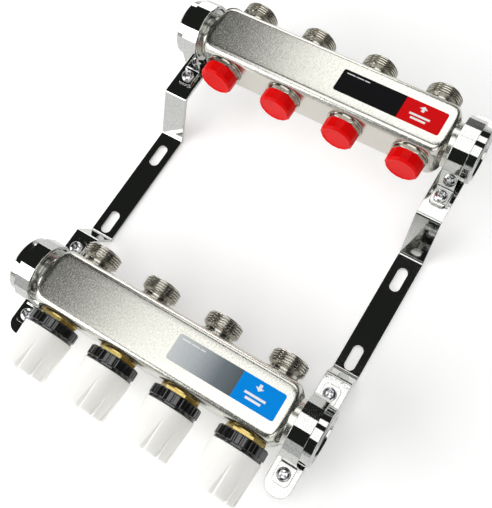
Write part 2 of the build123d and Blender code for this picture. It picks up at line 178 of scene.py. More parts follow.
def prism(name, verts):
    """A closed prism: the first half of verts is its lower outline, the second half its upper."""
    count = len(verts) // 2
    faces = [[k, (k + 1) % count, count + (k + 1) % count, count + k] for k in range(count)]
    faces.append(list(range(count))[::-1])
    faces.append(list(range(count, 2 * count)))
    return make_object(name, verts, faces)


def extrude_outline(name, outline, x_low, x_high):
    """A closed (y, z) outline in millimetres, drawn out along X between two metre values."""
    verts = [Vector((x, y * MM, z * MM)) for x in (x_low, x_high) for y, z in outline]
    return prism(name, verts)


def plate(name, points, low, high):
    """A flat plate from an (x, y) outline, all in metres."""
    verts = [Vector((x, y, z)) for z in (low, high) for x, y in points]
    return prism(name, verts)


def upright_cutter(x, plan, low, high):
    """A cutter with a plan in millimetres about x, between the heights low and high."""
    verts = [Vector((x, 0, 0)) + Vector((a, b, z)) * MM for z in (low, high) for a, b in plan]
    return prism("cutter", verts)


def join(name, parts):
    """Joins mesh objects into one, named name."""
    work = bmesh.new()
    for part in parts:
        piece = part.data.copy()
        piece.transform(part.matrix_world)
        work.from_mesh(piece)
        bpy.data.meshes.remove(piece)
    mesh = bpy.data.meshes.new(name)
    work.to_mesh(mesh)
    work.free()
    for part in parts:
        bpy.data.objects.remove(part)
    obj = bpy.data.objects.new(name, mesh)
    bpy.context.scene.collection.objects.link(obj)
    return obj


def apply_modifiers(obj):
    """Bakes an object's modifiers into its mesh."""
    bpy.context.view_layer.update()
    graph = bpy.context.evaluated_depsgraph_get()
    mesh = bpy.data.meshes.new_from_object(obj.evaluated_get(graph))
    obj.modifiers.clear()
    obj.data = mesh


def cut(obj, cutter):
    """Takes cutter's volume out of obj, and removes cutter."""
    modifier = obj.modifiers.new("cut", "BOOLEAN")
    modifier.operation = "DIFFERENCE"
    modifier.solver = "EXACT"
    modifier.object = cutter
    apply_modifiers(obj)
    bpy.data.objects.remove(cutter)


def flatten_normals(obj):
    """Lets large faces keep their own normal, so that flats stay flat beside their bends."""
    modifier = obj.modifiers.new("flats", "WEIGHTED_NORMAL")
    modifier.mode = "FACE_AREA"
    modifier.weight = 100
    modifier.keep_sharp = True
    apply_modifiers(obj)


def bevel_edges(obj, width_mm, segments=2, degrees=35.0):
    """Rounds the sharp edges slightly, as a tumbled or plated part has them."""
    modifier = obj.modifiers.new("edges", "BEVEL")
    modifier.width = width_mm * MM
    modifier.segments = segments
    modifier.limit_method = "ANGLE"
    modifier.angle_limit = math.radians(degrees)
    obj.data.shade_smooth()
    apply_modifiers(obj)
    obj.data.shade_smooth()
    obj.data.set_sharp_from_angle(angle=math.radians(degrees))
    flatten_normals(obj)


def finish_piece(obj, material, slot, body, *nodes):
    """Gives a piece its material, its body and the CAD nodes it stands for; the slot argument is not
    used.
    """
    obj.data.materials.clear()
    obj.data.materials.append(material)
    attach(obj, body)
    if nodes:
        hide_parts(*nodes)
    return obj


# ---------------------------------------------------------------- materials

def new_material(name):
    material = bpy.data.materials.new(name)
    material.use_nodes = True
    nodes = material.node_tree.nodes
    nodes.clear()
    output = nodes.new("ShaderNodeOutputMaterial")
    shader = nodes.new("ShaderNodeBsdfPrincipled")
    material.node_tree.links.new(shader.outputs["BSDF"], output.inputs["Surface"])
    return material, shader


def add_node(material, kind, **values):
    """Adds a node; values set its sockets by name, with underscores for spaces."""
    node = material.node_tree.nodes.new(kind)
    for key, value in values.items():
        node.inputs[key.replace("_", " ")].default_value = value
    return node


def wire(material, source, output, target, socket):
    material.node_tree.links.new(source.outputs[output], target.inputs[socket])


def object_noise(material, scale, stretch=(1, 1, 1), detail=3.0, roughness=0.55):
    """Noise in the piece's own coordinates, stretched along an axis when asked."""
    place = material.node_tree.nodes.new("ShaderNodeTexCoord")
    mapping = add_node(material, "ShaderNodeMapping", Scale=stretch)
    noise = add_node(
        material, "ShaderNodeTexNoise", Scale=scale, Detail=detail, Roughness=roughness
    )
    wire(material, place, "Object", mapping, "Vector")
    wire(material, mapping, "Vector", noise, "Vector")
    return noise


def ramp(material, source, output, stops):
    """A colour ramp over a source value; stops are (position, (r, g, b))."""
    node = material.node_tree.nodes.new("ShaderNodeValToRGB")
    wire(material, source, output, node, "Fac")
    elements = node.color_ramp.elements
    while len(elements) < len(stops):
        elements.new(0.5)
    for element, (position, colour) in zip(elements, stops):
        element.position = position
        element.color = (*colour, 1.0)
    return node


def spread(material, source, output, low, high):
    """Maps 0..1 to low..high."""
    node = material.node_tree.nodes.new("ShaderNodeMapRange")
    node.inputs["To Min"].default_value = low
    node.inputs["To Max"].default_value = high
    wire(material, source, output, node, "Value")
    return node


def bump(material, shader, source, output, strength, distance_mm):
    node = add_node(material, "ShaderNodeBump", Strength=strength, Distance=distance_mm * MM)
    wire(material, source, output, node, "Height")
    wire(material, node, "Normal", shader, "Normal")
    return node


def metal(name, scale, dark, light, low, high, strength, distance_mm=0.04, stretch=(1, 1, 1)):
    """Metal with a grain that varies its colour, its gloss between low and high, and its surface."""
    material, shader = new_material(name)
    shader.inputs["Metallic"].default_value = 1.0
    grain = object_noise(material, scale, stretch)
    colour = ramp(material, grain, "Fac", [(0.3, dark), (0.7, light)])
    wire(material, colour, "Color", shader, "Base Color")
    rough = spread(material, grain, "Fac", low, high)
    wire(material, rough, "Result", shader, "Roughness")
    bump(material, shader, grain, "Fac", strength, distance_mm)
    return material


def chrome():
    """Bright chrome plate over rolled steel: mirror-like, with a faint waviness."""
    material, shader = new_material("chrome_plate")
    shader.inputs["Metallic"].default_value = 1.0
    waves = object_noise(material, 130, detail=2)
    specks = object_noise(material, 1600, detail=2)
    colour = ramp(material, specks, "Fac", [(0.3, (0.36, 0.365, 0.35)), (0.6, (0.58, 0.585, 0.57))])
    wire(material, colour, "Color", shader, "Base Color")
    rough = spread(material, specks, "Fac", 0.02, 0.09)
    wire(material, rough, "Result", shader, "Roughness")
    bump(material, shader, waves, "Fac", 0.6, 0.08)
    return material


def plastic(name, light, dark, low, high, gloss):
    """Moulded plastic: a slight mottle in colour and gloss, and a fine grain."""
    material, shader = new_material(name)
    mottle = object_noise(material, 60, detail=3)
    grain = object_noise(material, 1400, detail=2)
    colour = ramp(material, mottle, "Fac", [(0.3, dark), (0.7, light)])
    wire(material, colour, "Color", shader, "Base Color")
    rough = spread(material, mottle, "Fac", low, high)
    wire(material, rough, "Result", shader, "Roughness")
    shader.inputs["Specular IOR Level"].default_value = gloss
    bump(material, shader, grain, "Fac", 0.25, 0.03)
    return material


def printed_film(name, stops, left, right, gloss):
    """Printed label film whose colour runs along X from left to right, in metres."""
    material, shader = new_material(name)
    place = material.node_tree.nodes.new("ShaderNodeTexCoord")
    axes = material.node_tree.nodes.new("ShaderNodeSeparateXYZ")
    wire(material, place, "Object", axes, "Vector")
    along = material.node_tree.nodes.new("ShaderNodeMapRange")
    along.inputs["From Min"].default_value = left
    along.inputs["From Max"].default_value = right
    wire(material, axes, "X", along, "Value")
    colour = ramp(material, along, "Result", stops)
    specks = object_noise(material, 900, detail=3)
    mix = material.node_tree.nodes.new("ShaderNodeMix")
    mix.data_type = "RGBA"
    mix.blend_type = "MULTIPLY"
    mix.inputs["Factor"].default_value = 0.25
    tint = ramp(material, specks, "Fac", [(0.35, (0.7, 0.7, 0.7)), (0.65, (1, 1, 1))])
    material.node_tree.links.new(colour.outputs["Color"], mix.inputs["A"])
    material.node_tree.links.new(tint.outputs["Color"], mix.inputs["B"])
    material.node_tree.links.new(mix.outputs["Result"], shader.inputs["Base Color"])
    rough = spread(material, specks, "Fac", 0.4, 0.55)
    wire(material, rough, "Result", shader, "Roughness")
    shader.inputs["Specular IOR Level"].default_value = gloss
    return material


BRUSHED = (1.0, 0.45, 1.0)
STAINLESS = metal(
    "satin_stainless", 1300, (0.50, 0.495, 0.45), (0.72, 0.71, 0.65), 0.18, 0.32, 0.7, 0.03, BRUSHED
)
CHROME = chrome()
NICKEL = metal("nickel_plate", 700, (0.40, 0.385, 0.34), (0.62, 0.60, 0.54), 0.12, 0.3, 0.2)
BRASS = metal("machined_brass", 500, (0.46, 0.34, 0.11), (0.66, 0.52, 0.20), 0.2, 0.4, 0.2)
ZINC = metal("zinc_plate", 800, (0.5, 0.5, 0.52), (0.78, 0.78, 0.80), 0.12, 0.3, 0.25)
TURNED_STEEL = metal("turned_steel", 800, (0.45, 0.45, 0.46), (0.62, 0.62, 0.63), 0.2, 0.38, 0.25)
SPRING_STEEL = metal("spring_wire", 800, (0.25, 0.26, 0.28), (0.40, 0.41, 0.43), 0.25, 0.4, 0.25)
RED = plastic("red_cap_plastic", (0.80, 0.002, 0.002), (0.66, 0.001, 0.001), 0.28, 0.38, 0.1)
BLACK = plastic("black_ring_plastic", (0.010, 0.010, 0.010), (0.006, 0.006, 0.006), 0.1, 0.2, 0.9)
WHITE = plastic("white_handle_plastic", (0.97, 0.96, 0.93), (0.95, 0.93, 0.89), 0.3, 0.42, 0.4)
WHITE_PRINT = plastic("white_print", (0.88, 0.88, 0.88), (0.82, 0.82, 0.82), 0.35, 0.5, 0.2)
RUBBER = plastic("seal_rubber", (0.02, 0.02, 0.02), (0.012, 0.012, 0.012), 0.6, 0.8, 0.4)


# ---------------------------------------------------------------- bars

BAR_HALF_LENGTH = 96.0
BAR_HALF_WIDTH = 21.0
BAR_HALF_DEPTH = 17.5
BAR_EDGE = 5.5
BAR_WALL = 1.5
NECK_RADIUS = 16.5
NECK_END = 99.8
END_CORNER = 9.0
END_TURN = 12.0
NECK_BLEND = 1.2
PORT_HOLES = ((TO_CIRCUITS, 10.55), (TO_VALVES, 10.95))
DRILL_START = 5.0
DRILL_END = 30.0


def quarter_drop(x, start, radius):
    """How far a rounded end falls away at x, when the rounding starts at start."""
    over = np.clip((x - start) / radius, 0, 1)
    return radius * (1 - np.sqrt(1 - over * over))


def rounded_rectangle_radius(directions, half_width, half_depth, corner):
    """The polar radius of a rounded rectangle along unit directions."""
    low = np.zeros(len(directions))
    high = np.full(len(directions), half_width + half_depth)
    inner = np.array((half_width - corner, half_depth - corner))
    for _ in range(40):
        trial = (low + high) / 2
        beyond = np.abs(directions) * trial[:, None] - inner
        outside = np.linalg.norm(np.maximum(beyond, 0), axis=1)
        inside = np.minimum(np.max(beyond, axis=1), 0)
        is_out = outside + inside > corner
        high = np.where(is_out, trial, high)
        low = np.where(is_out, low, trial)
    return (low + high) / 2


def bar_directions():
    """Directions round the bar, closest together at its long edges."""
    points = rounded_outline(
        [
            (BAR_HALF_WIDTH, BAR_HALF_DEPTH, BAR_EDGE),
            (-BAR_HALF_WIDTH, BAR_HALF_DEPTH, BAR_EDGE),
            (-BAR_HALF_WIDTH, -BAR_HALF_DEPTH, BAR_EDGE),
            (BAR_HALF_WIDTH, -BAR_HALF_DEPTH, BAR_EDGE),
        ],
        steps=8,
    )
    dense = []
    for i, point in enumerate(points):
        after = points[(i + 1) % len(points)]
        gap = math.dist(point, after)
        pieces = max(1, int(gap / 3.0))
        for k in range(pieces):
            blend = k / pieces
            dense.append([a * (1 - blend) + b * blend for a, b in zip(point, after)])
    dense = np.array(dense)
    return dense / np.linalg.norm(dense, axis=1)[:, None]


def bar_section(directions, x, inset):
    """Polar radii of the bar's skin at x millimetres from its middle."""
    x = abs(x)
    neck = np.full(len(directions), NECK_RADIUS - inset)
    if x >= BAR_HALF_LENGTH:
        return neck
    half_width = BAR_HALF_WIDTH - quarter_drop(x, BAR_HALF_LENGTH - END_CORNER, END_CORNER)
    half_depth = BAR_HALF_DEPTH - quarter_drop(x, BAR_HALF_LENGTH - BAR_EDGE, BAR_EDGE)
    corner = BAR_EDGE + quarter_drop(x, BAR_HALF_LENGTH - END_TURN, END_TURN) * 0.6
    corner = min(corner, half_width - 0.5, half_depth - 0.5)
    body = rounded_rectangle_radius(directions, half_width, half_depth, corner) - inset
    gap = np.abs(body - neck)
    larger = np.maximum(body, neck)
    filleted = larger + (NECK_BLEND - gap) ** 2 / (4 * NECK_BLEND)
    return np.where(gap < NECK_BLEND, filleted, larger)


def bar_stations():
    """X places of the bar's sections, dense where the ends are rounded."""
    straight = np.linspace(0, BAR_HALF_LENGTH - END_TURN, 15)
    turn = BAR_HALF_LENGTH - END_TURN * (1 - np.sin(np.linspace(0.1, 1, 22) * math.pi / 2))
    neck = np.array((BAR_HALF_LENGTH + 0.01, BAR_HALF_LENGTH + 1.5, NECK_END))
    half = np.concatenate((straight, turn, neck))
    return np.concatenate((-half[:0:-1], half))


def make_bar(name):
    """The pressed bar: an outer and an inner skin joined at the necks, drilled for ports."""
    centre = BAR_CENTRE[name]
    directions = bar_directions()
    count = len(directions)
    stations = bar_stations()
    verts = []
    for inset, order in ((0.0, stations), (BAR_WALL, stations[::-1])):
        for x in order:
            radii = bar_section(directions, x, inset)
            for (across, up), radius in zip(directions, radii):
                verts.append(centre + Vector((x, across * radius, up * radius)) * MM)
    rings = 2 * len(stations)
    faces = []
    for i in range(rings):
        low = i * count
        high = (i + 1) % rings * count
        for k in range(count):
            after = (k + 1) % count
            faces.append([low + k, low + after, high + after, high + k])
    bar = make_object(f"{name}_bar_shell", verts, faces, sharp_degrees=50)
    cutters = []
    for n in CIRCUITS:
        for way, radius in PORT_HOLES:
            outline = [(0, DRILL_START), (radius, DRILL_START), (radius, DRILL_END), (0, DRILL_END)]
            port = port_centre(name, n)
            cutters.append(lathe("cutter", outline, port, way, segments=48, closed=False))
    cut(bar, join("cutters", cutters))
    bar.data.shade_smooth()
    bar.data.set_sharp_from_angle(angle=math.radians(50))
    finish_piece(bar, STAINLESS, "stainless", ROOT, f"{name}_bar")


# ---------------------------------------------------------------- threads and sockets

ROWS_PER_TURN = 12
OUTLET_THREAD_PITCH = 1.814
SOCKET_THREAD_PITCH = 2.309


def thread_rows(start, end, pitch, crest, root, chamfer):
    """Rows (crest radius, distance) fine enough to carry a thread that eases in and out."""
    steps = int((end - start) / pitch * ROWS_PER_TURN)
    rows = []
    for k in range(steps + 1):
        distance = start + (end - start) * k / steps
        ease = min(1.0, (distance - start) / chamfer, (end - distance) / chamfer)
        rows.append((root + (crest - root) * ease, distance))
    return rows


def thread_height(angle, distance, pitch):
    """0 at a thread's root and 1 at its crest, with a short flat on each."""
    turn = (distance / pitch - angle / (2 * math.pi)) % 1.0
    return float(np.clip(2.6 * (1 - abs(2 * turn - 1)) - 0.5, 0, 1))


def make_outlet(name, n):
    """A nickel nipple with a helical outside thread and a coned mouth."""
    centre = port_centre(name, n)
    start, end, crest, root = 25.6, 34.4, 13.2, 11.95
    threaded = thread_rows(start, end, OUTLET_THREAD_PITCH, crest, root, 0.9)
    head = rounded_outline(
        [
            (8.0, 12.2, 0.3),
            (10.45, 12.2, 0.4),
            (10.45, 21.05, 0),
            (11.9, 21.05, 0.2),
            (11.7, 21.9, 0.3),
            (10.5, 22.4, 0.4),
            (10.5, 24.4, 0.5),
            (root, start, 0),
        ],
        closed=False,
    )[:-1]
    mouth = rounded_outline(
        [(root, end, 0), (11.6, 35.0, 0.3), (10.2, 35.0, 0.3), (8.0, 29.0, 0)], closed=False
    )[1:]
    outline = head + threaded + mouth

    def shape(angle, radius, distance):
        if start <= distance <= end and radius > root:
            return root + (radius - root) * thread_height(angle, distance, OUTLET_THREAD_PITCH)
        return radius

    outlet = lathe(f"{name}_outlet_{n}_threaded", outline, centre, TO_CIRCUITS, 128, shape)
    finish_piece(outlet, NICKEL, "nickel", ROOT, f"{name}_outlet_{n}")


def make_end_socket(name, side):
    """A chromed socket with a rounded rim and a helical inside thread."""
    way = Vector((1 if side == "right" else -1, 0, 0))
    centre = Vector((0, BAR_CENTRE[name].y, BAR_CENTRE[name].z))
    start, end, crest, root = 103.4, 117.0, 15.2, 16.4
    outer = rounded_outline(
        [
            (12.8, 91.8, 0.4),
            (14.9, 91.8, 0.4),
            (14.9, 99.9, 0),
            (19.4, 99.9, 0.6),
            (20.3, 100.9, 0.5),
            (20.3, 117.2, 0.6),
            (19.0, 118.5, 0.6),
            (17.0, 118.5, 0.5),
            (16.4, 117.0, 0),
        ],
        closed=False,
    )[:-1]
    threaded = thread_rows(start, end, SOCKET_THREAD_PITCH, crest, root, 1.6)[::-1]
    inner = [(15.2, 103.0), (12.8, 103.0)]

    def shape(angle, radius, distance):
        if start <= distance <= end and radius < root:
            return root - (root - radius) * thread_height(angle, distance, SOCKET_THREAD_PITCH)
        return radius

    outline = outer + threaded + inner
    socket = lathe(f"{name}_socket_{side}_threaded", outline, centre, way, 96, shape)
    finish_piece(socket, CHROME, "chrome_strap", ROOT, f"{name}_end_socket_{side}")


# ---------------------------------------------------------------- brackets and clamps

STRAP_THICKNESS = 2.5
STRAP_HALF_WIDTH = 9.5
STRAP_END_RADIUS = 8.5
STRAP_BEND = 2.6
STRAP_BENDS_Y = (-55.3, -46.3, 54.3, 71.2)
SEAT_RADIUS = 20.35
CLAMP_THICKNESS = 2.1
CLAMP_HALF_WIDTH = 6.0
CLAMP_FACETS = 16
SCREW_OFFSET = 29.5
SCREW_HOLE = 2.7
EAR_END = 36.5
SCREW_TURN = 1.1
SCREW_HEAD_RADIUS = 4.7
SCREW_SHANK_RADIUS = 2.5
SLOT_Y = 33.2
SLOT_LENGTH = 18.9
SLOT_WIDTH = 7.6
EAR_CORNER = 3.2
CUT_PAST = 1.0
CORNER_STEPS = 12
ROUND_STEPS = 24


def strap_outline(path, thickness, bend):
    """The closed outline of a bent strap: path is its lower face, bends are arcs."""
    lower = np.array(path, float)
    upper = []
    for i, point in enumerate(lower):
        before = lower[i] - lower[i - 1] if i else lower[1] - lower[0]
        after = lower[i + 1] - lower[i] if i + 1 < len(lower) else before
        before = before / np.linalg.norm(before)
        after = after / np.linalg.norm(after)
        normal = np.array((-(before + after)[1], (before + after)[0]))
        normal /= np.linalg.norm(normal)
        turn = normal @ np.array((-before[1], before[0]))
        upper.append(point + normal * thickness / turn)
    corners = []
    last = len(lower) - 1
    for i, point in enumerate(lower):
        corners.append((point[0], point[1], bend if 0 < i < last else 0))
    for i in range(last, -1, -1):
        corners.append((upper[i][0], upper[i][1], bend if 0 < i < last else 0))
    return rounded_outline(corners, steps=6)


def slot_cutter(x, y, low, high, half_length, radius):
    """An upright cutter with a slot-shaped plan; half_length 0 makes it round."""
    plan = []
    for k in range(ROUND_STEPS):
        angle = 2 * math.pi * (k + 0.5) / ROUND_STEPS
        shift = half_length if math.sin(angle) > 0 else -half_length
        plan.append((radius * math.cos(angle), radius * math.sin(angle) + shift + y))
    return upright_cutter(x, plan, low, high)


def end_corner_cutters(x, y_end, sign, low, high, half_width, radius):
    """Two cutters that leave a strap's end with rounded corners."""
    cutters = []
    beyond = y_end + sign * CUT_PAST
    for side in (-1, 1):
        centre_x = side * (half_width - radius)
        centre_y = y_end - sign * radius
        outside = side * (half_width + CUT_PAST)
        plan = [(outside, beyond), (outside, centre_y)]
        for k in range(CORNER_STEPS + 1):
            angle = math.pi / 2 * k / CORNER_STEPS
            across = side * radius * math.cos(angle)
            along = sign * radius * math.sin(angle)
            plan.append((centre_x + across, centre_y + along))
        plan.append((centre_x, beyond))
        cutters.append(upright_cutter(x, plan, low, high))
    return cutters


def make_bracket(side):
    """The bent wall strap with its two slots, its screw holes and rounded ends."""
    x = BRACKET_X[side]
    supply = BAR_CENTRE["supply"] / MM
    back = BAR_CENTRE["return"] / MM
    low_seat = back.z - SEAT_RADIUS - STRAP_THICKNESS
    high_seat = supply.z - SEAT_RADIUS - STRAP_THICKNESS
    low_end, high_end = (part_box(f"bracket_{side}")[k].y / MM for k in (0, 1))
    heights = (low_seat, 0.0, 0.0, high_seat)
    path = [(low_end, low_seat), *zip(STRAP_BENDS_Y, heights), (high_end, high_seat)]
    half = STRAP_HALF_WIDTH * MM
    outline = strap_outline(path, STRAP_THICKNESS, STRAP_BEND)
    strap = extrude_outline(f"bracket_{side}_strap", outline, x - half, x + half)
    cutters = []
    for y in (-SLOT_Y, SLOT_Y):
        reach = (SLOT_LENGTH - SLOT_WIDTH) / 2
        cutters.append(slot_cutter(x, y, -2, 6, reach, SLOT_WIDTH / 2))
    for bar in (supply, back):
        for offset in (-SCREW_OFFSET, SCREW_OFFSET):
            seat = bar.z - SEAT_RADIUS
            cutters.append(slot_cutter(x, bar.y + offset, seat - 6, seat + 3, 0, SCREW_HOLE))
    for end, sign, seat in ((low_end, -1, low_seat), (high_end, 1, high_seat)):
        cutters += end_corner_cutters(
            x, end, sign, seat - 3, seat + 6, STRAP_HALF_WIDTH, STRAP_END_RADIUS
        )
    cut(strap, join("cutters", cutters))
    bevel_edges(strap, 0.35)
    finish_piece(strap, CHROME, "chrome_strap", ROOT, f"bracket_{side}")


def make_clamp(name, side):
    """The faceted strap over an end socket, with its two screwed ears."""
    x = BRACKET_X[side]
    centre = BAR_CENTRE[name] / MM
    inner = SEAT_RADIUS
    outer = inner + CLAMP_THICKNESS
    facet = math.pi / CLAMP_FACETS
    turns = [facet * (2 * i + 1) for i in range(CLAMP_FACETS // 4)]
    foot = -SEAT_RADIUS
    half = [
        (EAR_END, foot, 0),
        (EAR_END, foot + CLAMP_THICKNESS, 0),
        (outer, foot + CLAMP_THICKNESS, 0.8),
    ]
    inside = [(inner, foot, 1.2)]
    for turn in turns:
        across = math.cos(turn) / math.cos(facet)
        up = math.sin(turn) / math.cos(facet)
        half.append((outer * across, outer * up, 0.8))
        inside.insert(0, (inner * across, inner * up, 0.4))
    right = half + [(-y, z, r) for y, z, r in half[::-1]]
    left = [(-y, z, r) for y, z, r in inside[::-1]] + inside
    corners = [(centre.y + y, centre.z + z, r) for y, z, r in right + left]
    reach = CLAMP_HALF_WIDTH * MM
    outline = rounded_outline(corners, 4)
    clamp = extrude_outline(f"{name}_clamp_{side}_strap", outline, x - reach, x + reach)
    seat = centre.z - SEAT_RADIUS
    cutters = []
    for offset in (-SCREW_OFFSET, SCREW_OFFSET):
        cutters.append(slot_cutter(x, centre.y + offset, seat - 2, seat + 5, 0, SCREW_HOLE))
        sign = 1 if offset > 0 else -1
        cutters += end_corner_cutters(
            x, centre.y + sign * EAR_END, sign, seat - 2, seat + 5, CLAMP_HALF_WIDTH, EAR_CORNER
        )
    cut(clamp, join("cutters", cutters))
    bevel_edges(clamp, 0.3)
    finish_piece(clamp, CHROME, "chrome_strap", ROOT, f"{name}_clamp_{side}")


def make_screws():
    """All clamp screws: domed pan heads with a tapered cross recess."""
    heads = []
    recesses = ([], [])
    for name in ("supply", "return"):
        for side in ("left", "right"):
            for offset in (-SCREW_OFFSET, SCREW_OFFSET):
                top = BAR_CENTRE[name].z / MM - SEAT_RADIUS + CLAMP_THICKNESS
                place = Vector((BRACKET_X[side], BAR_CENTRE[name].y + offset * MM, top * MM))
                outline = rounded_outline(
                    [
                        (0, 3.0, 0),
                        (2.6, 2.95, 2.0),
                        (4.2, 2.2, 1.2),
                        (SCREW_HEAD_RADIUS, 0.9, 0.6),
                        (SCREW_HEAD_RADIUS, 0.0, 0.3),
                        (SCREW_SHANK_RADIUS, 0.0, 0),
                        (SCREW_SHANK_RADIUS, -9.3, 0.4),
                        (0, -9.6, 0),
                    ],
                    closed=False,
                )
                heads.append(lathe("head", outline, place, Vector((0, 0, 1)), 40, closed=False))
                for quarter, arms in enumerate(recesses):
                    arms.append(cross_arm(place, SCREW_TURN + quarter * math.pi / 2))
    screws = join("clamp_screws_crossed", heads)
    for arms in recesses:
        cut(screws, join("cutters", arms))
    bevel_edges(screws, 0.12, segments=1, degrees=40)
    finish_piece(screws, ZINC, "zinc_screw", ROOT, "clamp_screws")


def cross_arm(place, angle):
    """One arm of a cross recess: a wedge, deepest at the screw's middle."""
    along = Vector((math.cos(angle), math.sin(angle), 0))
    side = Vector((-along.y, along.x, 0))
    verts = []
    for height, length, width in ((3.6, 3.1, 0.75), (1.1, 1.1, 0.45)):
        for a, b in ((-1, -1), (1, -1), (1, 1), (-1, 1)):
            verts.append(place + (along * a * length + side * b * width + Vector((0, 0, height))) * MM)
    faces = [[0, 1, 2, 3], [7, 6, 5, 4], [0, 4, 5, 1], [1, 5, 6, 2], [2, 6, 7, 3], [3, 7, 4, 0]]
    return make_object("cutter", verts, faces)


# ---------------------------------------------------------------- return valves

GRIP_RIBS = 22
GRIP_START = 24.4
GRIP_END = 31.6
GRIP_FADE = 0.7
VALLEY_DEPTH = 1.0
SKIRT_RADIUS = 17.15
HANDLE_FLUTES = 10
HANDLE_START = 33.6
HANDLE_END = 64.0
HANDLE_SIDE_END = 60.4
HANDLE_SIDE_STEPS = 24
HANDLE_DISH = 0.4
FLUTE_DEPTH = 1.7
FLUTE_START = 42.0
FLUTE_FADE = 20.0


def make_grip_ring(n):
    """The black ring nut: broad ribs with narrow valleys, over a plain skirt."""
    centre = port_centre("return", n)
    grip = [(15.1, GRIP_START, 0.3), (17.0, GRIP_START, 0.5), (17.95, 25.2, 0.5)]
    ribs = [(17.95, distance, 0) for distance in np.linspace(25.6, 30.9, 8)]
    rest = [
        (17.95, 31.1, 0.4),
        (17.4, 31.6, 0.2),
        (SKIRT_RADIUS, 31.65, 0.2),
        (SKIRT_RADIUS, 33.2, 0.4),
        (14.5, 33.3, 0.2),
        (14.5, 38.7, 0.2),
        (15.15, 38.8, 0.3),
        (15.15, 39.6, 0.3),
        (14.3, 40.4, 0.3),
        (12.5, 40.4, 0.3),
        (12.5, 31.3, 0.2),
        (15.1, 31.3, 0.2),
    ]
    outline = rounded_outline(grip + ribs + rest, 3)

    def shape(angle, radius, distance):
        if radius < 16.5 or not GRIP_START <= distance <= GRIP_END:
            return radius
        turn = abs((angle / (2 * math.pi) * GRIP_RIBS) % 1.0 - 0.5) * 2
        groove = np.clip((turn - 0.62) / 0.2, 0, 1)
        ends = np.clip(min(distance - GRIP_START, GRIP_END - distance) / GRIP_FADE, 0, 1)
        return radius - VALLEY_DEPTH * groove * groove * (3 - 2 * groove) * ends

    ring = lathe(f"grip_ring_{n}_ribbed", outline, centre, TO_VALVES, GRIP_RIBS * 12, shape)
    finish_piece(ring, BLACK, "black_plastic", ROOT, f"handle_ring_{n}")


def make_handle(n):
    """The white hand wheel: slightly tapered, with long flutes that fade out half-way."""
    centre = port_centre("return", n)
    base, top = 17.85, 16.75
    radii = np.linspace(base, top, HANDLE_SIDE_STEPS + 1)
    distances = np.linspace(HANDLE_START + 0.3, HANDLE_SIDE_END, HANDLE_SIDE_STEPS + 1)
    side = [(float(radius), float(distance)) for radius, distance in zip(radii, distances)]
    dome = rounded_outline(
        [
            (top, 60.5, 0.0),
            (top - 0.25, 63.1, 1.6),
            (top - 2.4, HANDLE_END, 1.6),
            (10.0, HANDLE_END, 0.6),
            (9.6, HANDLE_END - HANDLE_DISH, 0.6),
            (0.0, HANDLE_END - HANDLE_DISH, 0),
        ],
        5,
        closed=False,
    )
    hollow = rounded_outline(
        [
            (0, 58.0, 0),
            (4.1, 58.0, 0.2),
            (4.1, 37.0, 0.2),
            (6.4, 37.0, 0.3),
            (6.4, 61.0, 0.6),
            (14.4, 61.0, 0.6),
            (15.6, 41.0, 0.3),
            (15.6, 38.4, 0.2),
            (14.65, 38.4, 0.2),
            (14.65, HANDLE_START, 0.3),
            (17.6, HANDLE_START, 0),
        ],
        3,
        closed=False,
    )
    outline = side + dome + hollow

    def shape(angle, radius, distance):
        if radius < 13.5 or distance < 40 or (distance < 61.2 and radius < 15.9):
            return radius
        along = float(np.clip((distance - FLUTE_START) / FLUTE_FADE, 0, 1))
        turn = (angle / (2 * math.pi) * HANDLE_FLUTES + 0.35) % 1.0 - 0.5
        width = 0.30 * max(along, 0.1) if turn > 0 else 0.07
        return radius - FLUTE_DEPTH * along * float(np.clip(1 - abs(turn) / width, 0, 1))

    segments = HANDLE_FLUTES * 36
    handle = lathe(f"handle_{n}_fluted", outline, centre, TO_VALVES, segments, shape)
    finish_piece(handle, WHITE, "white_plastic", f"handle_{n}", f"handle_{n}")


# ---------------------------------------------------------------- caps, labels, small parts

CAP_FACETS = 14
CAP_TOP = 33.95
CAP_RIM = 24.5
CAP_FLOOR = 30.5
CAP_BORE = 10.7
BLOCK_START = 0.61


def make_cap(n):
    """The red protective cap: a lightly faceted skirt, a bevel and a shallow dished face."""
    centre = port_centre("supply", n)
    outline = rounded_outline(
        [
            (0, 33.55, 0),
            (9.4, 33.55, 0.5),
            (10.0, CAP_TOP, 0.4),
            (11.1, CAP_TOP, 0.5),
            (12.6, 32.6, 0.6),
            (12.75, 26.0, 0),
            (12.8, CAP_RIM, 0.3),
            (CAP_BORE, CAP_RIM, 0.3),
            (CAP_BORE, CAP_FLOOR, 0.3),
            (0, CAP_FLOOR, 0),
        ],
        4,
        closed=False,
    )

    def shape(angle, radius, distance):
        if radius < 10.9:
            return radius
        turn = ((angle / (2 * math.pi) * CAP_FACETS) % 1.0 - 0.5) * 2 * math.pi / CAP_FACETS
        return radius * math.cos(math.pi / CAP_FACETS) / math.cos(turn) * 1.015

    segments = CAP_FACETS * 8
    cap = lathe(f"red_cap_{n}_faceted", outline, centre, TO_VALVES, segments, shape, closed=False)
    finish_piece(cap, RED, "red_plastic", f"red_cap_{n}", f"red_cap_{n}")


def arrow_points(x, y, way):
    """A stubby arrow that points along Y, about 6 mm across."""
    shape = [(-1.1, -2.3), (1.1, -2.3), (1.1, 0.0), (3.0, 0.0), (0, 2.4), (-3.0, 0.0), (-1.1, 0.0)]
    return [(x + a * MM, y + b * way * MM) for a, b in shape]


def stripe(start, end, y, half_height):
    """A plain printed bar between two X values about y, in metres."""
    low = y - half_height
    high = y + half_height
    return [(start, low), (end, low), (end, high), (start, high)]


